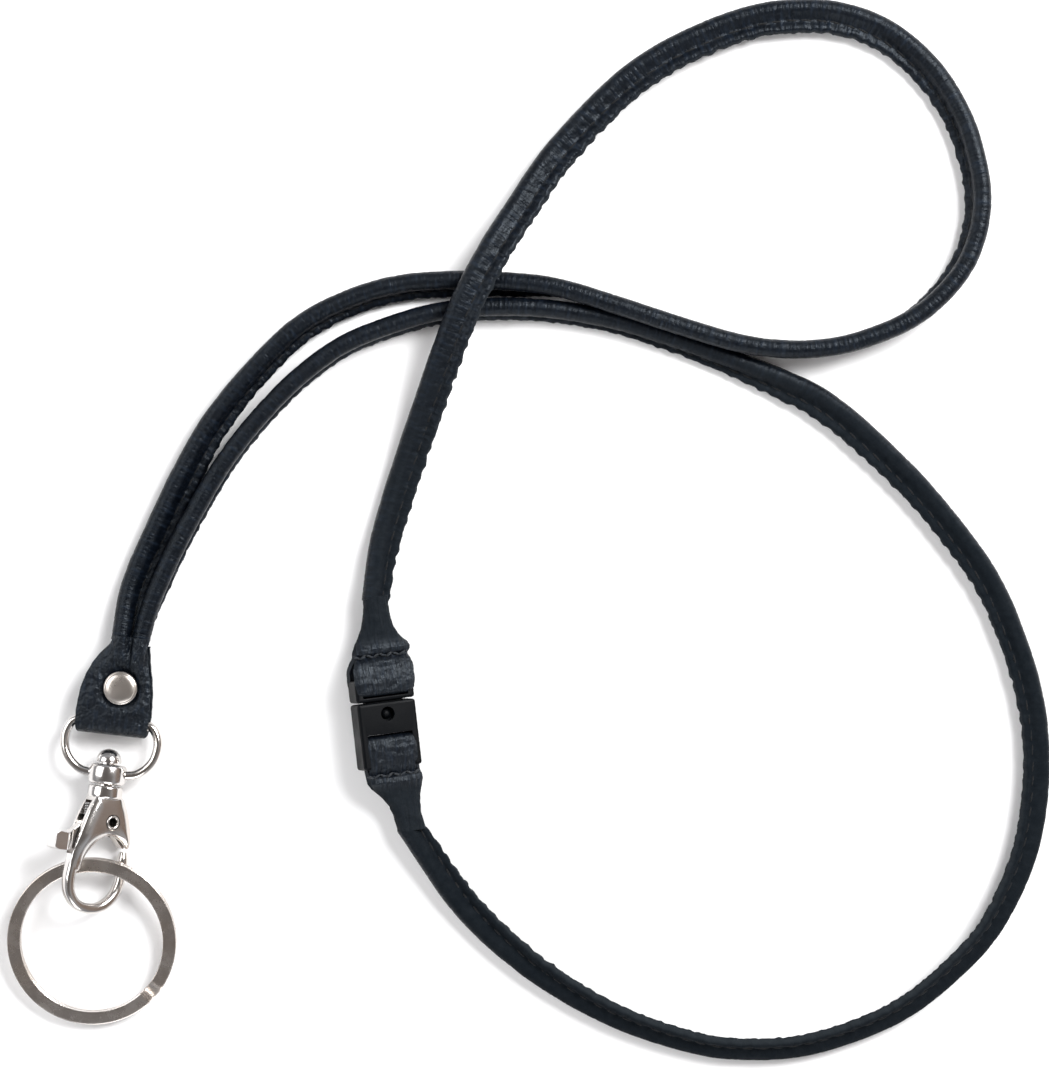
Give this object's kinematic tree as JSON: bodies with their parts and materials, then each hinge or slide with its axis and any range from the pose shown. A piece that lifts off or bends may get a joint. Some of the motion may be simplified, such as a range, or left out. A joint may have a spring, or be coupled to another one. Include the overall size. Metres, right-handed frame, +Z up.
{
  "type": "neck lanyard",
  "caption": "Leather neck lanyard: a rolled strap loop with a breakaway buckle, a riveted tab, a swivel trigger clasp and a split key ring.",
  "frame": {"origin": "middle of the flat back of the tab's rivet, which rests on the table", "axes": "+Z up from the table, +Y from the rivet up the straps, +X towards the loop; the clasp and the key ring lie towards -Y"},
  "size_m": [0.1977, 0.2012, 0.0113],
  "materials": {
    "strap_leather": "rolled navy-black leather, glossy crinkled grain side and matt suede side",
    "tab_leather": "navy-black grained leather with creases round the rivet",
    "core_cord": "dark twisted filler cord, hidden in the strap",
    "nickel": "bright nickel plate",
    "dark_nickel": "satin dark nickel plate",
    "spring_steel": "plain spring wire",
    "black_plastic": "fine-grained black moulded plastic"
  },
  "bodies": {
    "strap": {"strap_upper": "strap_leather", "strap_upper_end": "strap_leather", "strap_lower": "strap_leather", "core_upper": "core_cord", "core_upper_end": "core_cord", "core_lower": "core_cord", "strap_tongue_back": "strap_leather", "strap_tongue_front": "strap_leather", "leather_tab": "tab_leather", "rivet_back": "nickel", "rivet_cap": "nickel", "buckle_socket": "black_plastic", "loop_lower": "strap_leather"},
    "eye": {"swivel_eye": "nickel"},
    "clasp": {"clasp_body": "nickel", "swivel_post": "nickel", "lever_pin": "nickel", "lever_spring": "spring_steel"},
    "trigger": {"trigger_lever": "nickel"},
    "key_ring": {"split_ring": "dark_nickel"},
    "plug": {"buckle_plug": "black_plastic", "loop_upper": "strap_leather"}
  },
  "joints": [
    {"name": "eye_swing", "type": "hinge", "parent": "strap", "child": "eye", "pos_m": [-0.00166, -0.00665, 0.0035], "axis": [0.9936, -0.1132, 0], "range_deg": [-75, 75]},
    {"name": "clasp_swivel", "type": "hinge", "parent": "eye", "child": "clasp", "pos_m": [-0.00166, -0.00665, 0.0035], "axis": [0.113, 0.9919, -0.0576], "continuous": true},
    {"name": "trigger_pivot", "type": "hinge", "parent": "clasp", "child": "trigger", "pos_m": [-0.00302, -0.02532, 0.00402], "axis": [-0.5893, 0.0203, -0.8077], "range_deg": [0, 20], "stiffness_Nm_per_rad": 0.02, "springref_deg": -20.05, "deforming": ["lever_spring"]},
    {"name": "ring_turn", "type": "hinge", "parent": "clasp", "child": "key_ring", "pos_m": [-0.0058, -0.0481, 0.00291], "axis": [0, -0.1149, 0.9934], "continuous": true},
    {"name": "plug_release", "type": "slide", "parent": "strap", "child": "plug", "axis": [-0.1132, 0.9936, 0], "range_m": [0, 0.009], "deforming": ["strap_upper_end", "core_upper_end"]}
  ]
}
